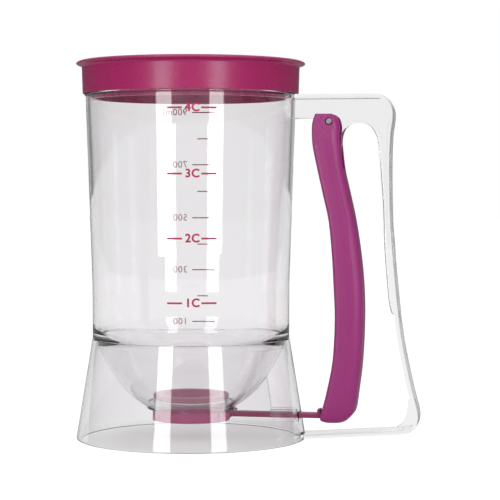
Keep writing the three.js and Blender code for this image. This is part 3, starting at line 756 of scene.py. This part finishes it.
pin = {"radius": 1.6, "inset": 0.55, "dome": 0.6}   # the domed ends stand back from the lever's faces


def makePin():
    half = lever["width"] / 2 - pin["inset"]
    piece = crossBar("pivot_shaft", layout["pivotX"], layout["pivotZ"], pin["radius"], -half, half)
    softenEdges(piece, pin["dome"], segments=5, angle=40)
    finishPiece(piece, pinMetal, "lever", ["pivot_pin"])


makePin()
print("made the pivot pin")


# Return spring: a coil round the pin, one leg at the handle's peg and one inside the lever's front wall

spring = {
    "wire": 0.7, "radius": 2.75, "pitch": 1.15, "turns": 2, "legLength": 13, "perTurn": 32,
    "start": 1.65, "roundness": 3,   # where the coil starts along the pin, and the wire's facets
}


def makeSpring():
    s = spring
    pivotX, pivotZ = layout["pivotX"], layout["pivotZ"]
    backX, frontX = pivotX + s["radius"], pivotX - s["radius"]
    foot = pivotZ - s["legLength"]
    knee = foot + s["legLength"] / 2
    route = [(backX, s["start"], foot), (backX, s["start"], knee)]
    span = s["turns"] * 2 * math.pi + math.pi   # half a turn more leads to the front leg
    steps = int(span / (2 * math.pi) * s["perTurn"])
    for i in range(steps + 1):
        turn = span * i / steps
        route.append((
            pivotX + s["radius"] * math.cos(turn),
            s["start"] + turn / (2 * math.pi) * s["pitch"],
            pivotZ + s["radius"] * math.sin(turn)))
    endY = route[-1][1]
    rest = edgeAt(leverFront, foot) + lever["frontWall"] + layout["seatGap"] + s["wire"] / 2
    route += [(frontX, endY, knee), (rest, endY, foot)]
    path = addObject(bpy.ops.curve.primitive_nurbs_path_add, "return_coil")
    path.data.splines.clear()
    wire = path.data.splines.new("POLY")
    wire.points.add(len(route) - 1)
    for knot, (x, y, z) in zip(wire.points, route):
        knot.co = (*place(x, z, y), 1)
    path.data.dimensions = "3D"
    path.data.bevel_depth = mm(s["wire"] / 2)
    path.data.bevel_resolution = s["roundness"]
    path.data.use_fill_caps = True
    bpy.ops.object.convert(target="MESH")
    piece = settle(bpy.context.active_object)
    finishPiece(piece, springMetal, None, ["return_spring"], even=False)
    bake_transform(piece)


makeSpring()
print("made the return spring")


# Gate and pull rod

def makeGate():
    r = rod
    middle = (r["low"] + r["high"]) / 2
    piece = cutBlock("gate_plate", -r["gateHalf"], r["gateHalf"], r["gateWidth"], r["low"], r["high"])
    bar = cutBlock("bar", r["barStart"], r["headEnd"], r["width"], r["low"], r["high"])
    lug = cutBlock(
        "lug", r["lugFace"] - r["lugLength"], r["lugFace"], r["width"], middle, r["high"] + r["lugHeight"])
    head = cutBlock("head", r["headFace"], r["headEnd"], r["width"], middle, r["high"] + r["headHeight"])
    combine(piece, "UNION", bar, lug, head)
    softenEdges(piece, r["edgeRound"], angle=40)
    finishPiece(piece, rodPlastic, "gate", ["gate_rod"])


makeGate()
print("made the gate and its rod")


# Valve seat, gasket and outlet cap

valve = {
    "outlet": 7.5, "flangeRadius": 19, "flangeTop": 22, "flangeThickness": 1.8, "funnelRadius": 14.4,
    "roof": 1.2, "tube": 16.2, "gasket": 0.7, "capRadius": 19.3, "capFloor": 1.9,
    "mouthReach": 21.5, "mouthWall": 1.7, "mouthTip": 1.6, "floor": 11.1, "gateRoom": 20.6,
    "seatRound": 0.3, "gasketRound": 0.2, "capRound": 0.25,
}


def makeSeat():
    v = valve
    under, gap = hopper["floorUnder"], layout["seatGap"]
    piece = turnPiece("valve_funnel", [
        (v["outlet"], v["floor"] + gap), (v["tube"], v["floor"] + gap),
        (v["tube"], v["flangeTop"] - v["flangeThickness"]),
        (v["flangeRadius"], v["flangeTop"] - v["flangeThickness"]),
        (v["flangeRadius"], v["flangeTop"]), (v["funnelRadius"], v["flangeTop"]),
        (v["outlet"], under + v["roof"]),
    ], layout["fineSteps"])
    softenEdges(piece, v["seatRound"], angle=30)
    room = cutBlock(
        "gate_room", -rod["gateHalf"] - gap, v["capRadius"] + layout["overrun"], v["gateRoom"], 0, under)
    combine(piece, "DIFFERENCE", room)
    finishPiece(piece, valvePlastic, "jug", ["valve_seat"])


def makeGasket():
    v = valve
    top = v["flangeTop"] - v["flangeThickness"] - layout["seatGap"]
    piece = turnPiece("sealing_ring", [
        (hopper["collarBore"], top - v["gasket"]), (hopper["collarRadius"], top - v["gasket"]),
        (hopper["collarRadius"], top), (hopper["collarBore"], top),
    ], layout["fineSteps"])
    softenEdges(piece, v["gasketRound"], angle=30)
    finishPiece(piece, gasketRubber, "jug", ["valve_gasket"])


def makeCap():
    v = valve
    top = hopper["floorUnder"] - layout["seatGap"]
    bottom = v["floor"] - v["capFloor"]
    bore, overrun = hopper["collarBore"], layout["overrun"]
    root = bore + layout["seatGap"]   # the mouth starts inside the cup's wall
    piece = turnPiece("outlet_cup", [
        (v["outlet"], bottom), (v["capRadius"], bottom), (v["capRadius"], top),
        (bore, top), (bore, v["floor"]), (v["outlet"], v["floor"]),
    ], layout["fineSteps"])
    mouth = cutPlate("mouth", [
        (root, bottom + v["mouthTip"] / 2), (v["capRadius"], bottom + v["mouthTip"] / 2),
        (v["mouthReach"], top - v["mouthTip"]), (v["mouthReach"], top), (root, top),
    ], v["gateRoom"] + 2 * v["mouthWall"])
    combine(piece, "UNION", mouth)
    room = cutBlock("gate_room", 0, v["mouthReach"] + overrun, v["gateRoom"], v["floor"], top + overrun)
    combine(piece, "DIFFERENCE", room)
    softenEdges(piece, v["capRound"], segments=2, angle=40)
    finishPiece(piece, valvePlastic, "jug", ["outlet_cap"])


makeSeat()
makeGasket()
makeCap()
print("made the valve")


# Printed measures

marks = {
    "facing": 11.9,         # degrees round the jug to which the print faces
    "cupHeights": [(163, "4C"), (131.9, "3C"), (101.2, "2C"), (70.5, "1C")],
    "cupText": 4, "cupWeight": 0.19, "cupTextX": 0.6, "cupLines": [(-11.4, -4.3), (4.8, 12)],
    "lineWidth": 0.9, "fineLineShare": 0.7, "lineCuts": 16,
    "capitalShare": 0.72,   # a capital's height to the size of the type
    "spacing": 1.08, "curveSteps": 6, "slab": 0.5, "slabWeld": 0.002, "directions": 8,
    "standOff": 62,         # from the jug's axis, before the print is pressed on
    "fineHeights": [
        (164.9, "900ml"), (151, ""), (137.3, "700"), (123.3, ""), (109.4, "500"),
        (95.5, ""), (82, "300"), (68.3, ""), (54.6, "100")],
    "fineText": 3.6, "fineTextX": 1.9, "longLine": (-12.7, -0.6), "shortLine": (-9, -3.4),
    "film": 0.05, "lift": 0.04,
}


def inkLine(low, high, height, width, turn):
    # a flat bar with enough cuts to follow the round wall
    line = addObject(
        bpy.ops.mesh.primitive_grid_add, "line", x_subdivisions=marks["lineCuts"], y_subdivisions=1, size=1)
    bpy.ops.object.mode_set(mode="EDIT")
    bpy.ops.mesh.select_all(action="SELECT")
    bpy.ops.transform.resize(value=(mm(high - low), mm(width), 1))
    bpy.ops.object.mode_set(mode="OBJECT")
    putOnFace(line, (low + high) / 2, height, turn)
    return line


def putOnFace(thing, across, height, turn):
    # in front of the wall, facing out at that turn round the jug
    angle = math.radians(turn)
    thing.rotation_euler = (math.pi / 2, 0, angle)
    out = mm(marks["standOff"])
    thing.location = place(0, height) + Vector((
        math.sin(angle) * out + math.cos(angle) * mm(across),
        -math.cos(angle) * out + math.sin(angle) * mm(across), 0))


def inkText(words, across, height, size, turn, weight, align):
    # shifted copies of the words make one outline, so the strokes grow by the weight
    steps = [(0, 0)]
    if weight:
        part = 2 * math.pi / marks["directions"]
        steps += [(math.cos(i * part), math.sin(i * part)) for i in range(marks["directions"])]
    text = None
    for right, up in steps:
        copy = addObject(bpy.ops.object.text_add, "words", location=(mm(right * weight), mm(up * weight), 0))
        copy.data.body = words
        copy.data.align_x = align
        copy.data.align_y = "CENTER"
        copy.data.size = mm(size / marks["capitalShare"])
        copy.data.resolution_u = marks["curveSteps"]
        copy.data.space_character = marks["spacing"]
        copy.data.extrude = mm(marks["slab"])
        bpy.ops.object.convert(target="MESH")
        copy = bpy.context.active_object
        bpy.ops.object.mode_set(mode="EDIT")
        bpy.ops.mesh.select_mode(type="FACE")
        copy = closeMesh(copy, marks["slabWeld"])
        text = combine(text, "UNION", copy) if text else copy
    for face in text.data.polygons:
        face.select = face.normal.z < 0.9   # all but the slab's front
    bpy.ops.object.mode_set(mode="EDIT")
    bpy.ops.mesh.delete(type="FACE")
    bpy.ops.object.mode_set(mode="OBJECT")
    putOnFace(text, across, height, turn)
    return text


def pressOnWall(name, parts):
    # all the parts of one print are joined and laid on the jar's outside
    bpy.ops.object.select_all(action="DESELECT")
    for part in parts:
        part.select_set(True)
    bpy.context.view_layer.objects.active = parts[0]
    bpy.ops.object.join()
    piece = bpy.context.active_object
    piece.name = piece.data.name = name
    modify(
        piece, "SHRINKWRAP", target=hopperPiece, wrap_method="PROJECT", wrap_mode="ABOVE_SURFACE",
        use_project_z=True, use_negative_direction=True, use_positive_direction=False,
        offset=mm(marks["lift"]))
    modify(piece, "SOLIDIFY", thickness=mm(marks["film"]), offset=1)
    settle(piece)
    finishPiece(piece, markInk, "jug")


def makeMarks():
    # cups on the near side, and millilitres on the far side, where they read mirrored through the jug
    m = marks
    near, far = m["facing"], m["facing"] + 180
    cups = []
    for height, words in m["cupHeights"]:
        cups.append(inkText(words, m["cupTextX"], height, m["cupText"], near, m["cupWeight"], "CENTER"))
        cups += [inkLine(low, high, height, m["lineWidth"], near) for low, high in m["cupLines"]]
    pressOnWall("cup_marks", cups)
    fine = []
    for height, words in m["fineHeights"]:
        low, high = m["longLine"] if words else m["shortLine"]
        fine.append(inkLine(low, high, height, m["lineWidth"] * m["fineLineShare"], far))
        if words:
            fine.append(inkText(words, m["fineTextX"], height, m["fineText"], far, 0, "LEFT"))
    pressOnWall("millilitre_marks", fine)


makeMarks()
print("made the printed measures")


# Studio

studio = {
    "facing": 10.5,   # degrees by which the backdrop follows the camera round the jug
    "floorSize": 6, "floorSides": 96, "floorDrop": 0.05, "floorColour": "#E4E4E4",
    "strips": [(-16.5, 0.6, 0.17, 4.6), (38.5, 0.6, 0.158, 4.6)],   # turn, distance, width, brightness
    "stripFoot": 0.037, "stripTop": 0.62,
    "topLamp": (0.9, -0.1, 1.1, 1.3),   # size, y, height, brightness
    "plain": 0.44,   # the world's level for light on the object
    # level round the horizon by direction: 0 behind the camera, 1 straight behind the jug
    "mirrored": [(0, 0.6), (0.12, 0.45), (0.3, 0.1), (0.975, 0.12), (1, 0.9)],
    "through": [(0, 0.4), (0.3, 0.27), (0.94, 0.3), (0.985, 0.92), (1, 0.92)],
    "ceiling": 0.85, "ceilingStart": 0.5, "ceilingEnd": 0.9,
    # how much of the floor glows, and how strongly: for the camera and gloss, for light, through clear walls
    "floorShare": 0.85, "floorLift": 0.15, "floorGlow": 1.2, "floorMirrored": 0.3,
    "floorNear": 0.5, "floorFar": 0.95, "nearRadius": 55, "farRadius": 105,
}


def makeFloor():
    # white for the camera and plain for light on the object; through the clear walls it keeps its shadow
    floor = settle(addObject(
        bpy.ops.mesh.primitive_circle_add, "floor", vertices=studio["floorSides"],
        radius=studio["floorSize"], fill_type="NGON", location=(0, 0, -mm(studio["floorDrop"]))))
    material, tree, where = newMaterial("white table")
    rays = addNode(tree, "LightPath").outputs
    through = rays["Is Transmission Ray"]
    mirrored = addNode(
        tree, "Math", {"operation": "SUBTRACT", "use_clamp": True}, {0: rays["Is Glossy Ray"], 1: through})
    away = addNode(tree, "VectorMath", {"operation": "LENGTH"}, {0: where}).outputs["Value"]
    radial = addNode(
        tree, "MapRange", {
            "interpolation_type": "SMOOTHSTEP", "From Min": mm(studio["nearRadius"]),
            "From Max": mm(studio["farRadius"]), "To Min": studio["floorNear"]}, {"Value": away})
    seen = addNode(tree, "Math", {"operation": "MAXIMUM"}, {0: rays["Is Camera Ray"], 1: mirrored})
    direct = addNode(tree, "Mix", {2: studio["floorLift"], 3: studio["floorShare"]}, {0: seen})
    share = addNode(tree, "Mix", {}, {0: through, 2: direct, 3: radial})
    clear = addNode(tree, "Mix", {2: studio["floorGlow"], 3: studio["floorFar"]}, {0: through})
    level = addNode(tree, "Mix", {3: studio["floorMirrored"]}, {0: mirrored, 2: clear})
    diffuse = addNode(tree, "BsdfDiffuse", {"Color": colour(studio["floorColour"])})
    glow = addNode(tree, "Emission", {"Color": (1, 1, 1, 1)}, {"Strength": level})
    mix = addNode(tree, "MixShader", {}, {0: share, 1: diffuse, 2: glow})
    addNode(tree, "OutputMaterial", {}, {"Surface": mix})
    floor.data.materials.append(material)


def horizon(tree, ahead, height, stops):
    # a ring of grey levels round the scene, rising to the ceiling's level
    ring = addNode(tree, "ValToRGB", {}, {"Fac": ahead})
    ramp = ring.color_ramp
    ramp.interpolation = "EASE"
    while len(ramp.elements) < len(stops):
        ramp.elements.new(0.5)
    for stop, (position, value) in zip(ramp.elements, stops):
        stop.position = position
        stop.color = (value, value, value, 1)
    level = studio["ceiling"]
    topped = addNode(
        tree, "MixRGB", {"Color2": (level, level, level, 1)}, {"Fac": height, "Color1": ring})
    return addNode(tree, "Background", {"Strength": 1}, {"Color": topped})


def makeWorld():
    # plain level for light; a white backdrop for the camera, and behind the jug for gloss and clear walls
    world = bpy.data.worlds.new("studio")
    bpy.context.scene.world = world
    world.use_nodes = True
    tree = world.node_tree
    tree.nodes.clear()
    where = addNode(tree, "TexCoord").outputs["Generated"]
    parts = addNode(tree, "SeparateXYZ", {}, {"Vector": where}).outputs
    flat = addNode(tree, "CombineXYZ", {}, {"X": parts["X"], "Y": parts["Y"]})
    unit = addNode(tree, "VectorMath", {"operation": "NORMALIZE"}, {0: flat})
    turn = math.radians(studio["facing"])
    along = addNode(
        tree, "VectorMath", {"operation": "DOT_PRODUCT", 1: (-math.sin(turn), math.cos(turn), 0)},
        {0: unit}).outputs["Value"]
    ahead = addNode(tree, "MapRange", {"From Min": -1, "From Max": 1}, {"Value": along})
    height = addNode(
        tree, "MapRange", {"From Min": studio["ceilingStart"], "From Max": studio["ceilingEnd"]},
        {"Value": parts["Z"]})
    plain = addNode(tree, "Background", {"Color": (1, 1, 1, 1), "Strength": studio["plain"]})
    white = addNode(tree, "Background", {"Color": (1, 1, 1, 1), "Strength": 1})
    rays = addNode(tree, "LightPath").outputs
    shown = plain
    for ray, seen in (
            ("Is Glossy Ray", horizon(tree, ahead, height, studio["mirrored"])),
            ("Is Transmission Ray", horizon(tree, ahead, height, studio["through"])),
            ("Is Camera Ray", white)):
        shown = addNode(tree, "MixShader", {}, {0: rays[ray], 1: shown, 2: seen})
    addNode(tree, "OutputWorld", {}, {"Surface": shown})


def addLamp(name, location, target, width, height, brightness):
    lamp = addObject(bpy.ops.object.light_add, name, type="AREA", location=location)
    lamp.data.shape = "RECTANGLE"
    lamp.data.size = width
    lamp.data.size_y = height
    lamp.data.energy = brightness * math.pi * width * height   # watts for that radiance
    lamp.rotation_euler = (Vector(target) - Vector(location)).to_track_quat("-Z", "Y").to_euler()


def makeLamps():
    for i, (turn, distance, width, brightness) in enumerate(studio["strips"]):
        angle = math.radians(turn)
        axis = mm(layout["jugX"])
        low, high = studio["stripFoot"], studio["stripTop"]
        middle = (low + high) / 2
        spot = (axis + math.sin(angle) * distance, -math.cos(angle) * distance, middle)
        addLamp(f"strip_{i}", spot, (axis, 0, middle), width, high - low, brightness)
    size, y, height, brightness = studio["topLamp"]
    addLamp("top_soft", (0, y, height), (0, 0, 0), size, size, brightness)


view = {"place": (0.157, -0.8812, 0.1255), "tilt": 88, "turn": 10, "sensor": 36, "lens": 129.6}


def makeCamera():
    camera = addObject(
        bpy.ops.object.camera_add, "camera", location=view["place"],
        rotation=(math.radians(view["tilt"]), 0, math.radians(view["turn"])))
    camera.data.sensor_width = view["sensor"]
    camera.data.lens = view["lens"]
    bpy.context.scene.camera = camera


makeFloor()
makeWorld()
makeLamps()
makeCamera()
bpy.context.scene.view_settings.view_transform = "Standard"
print("made the studio")
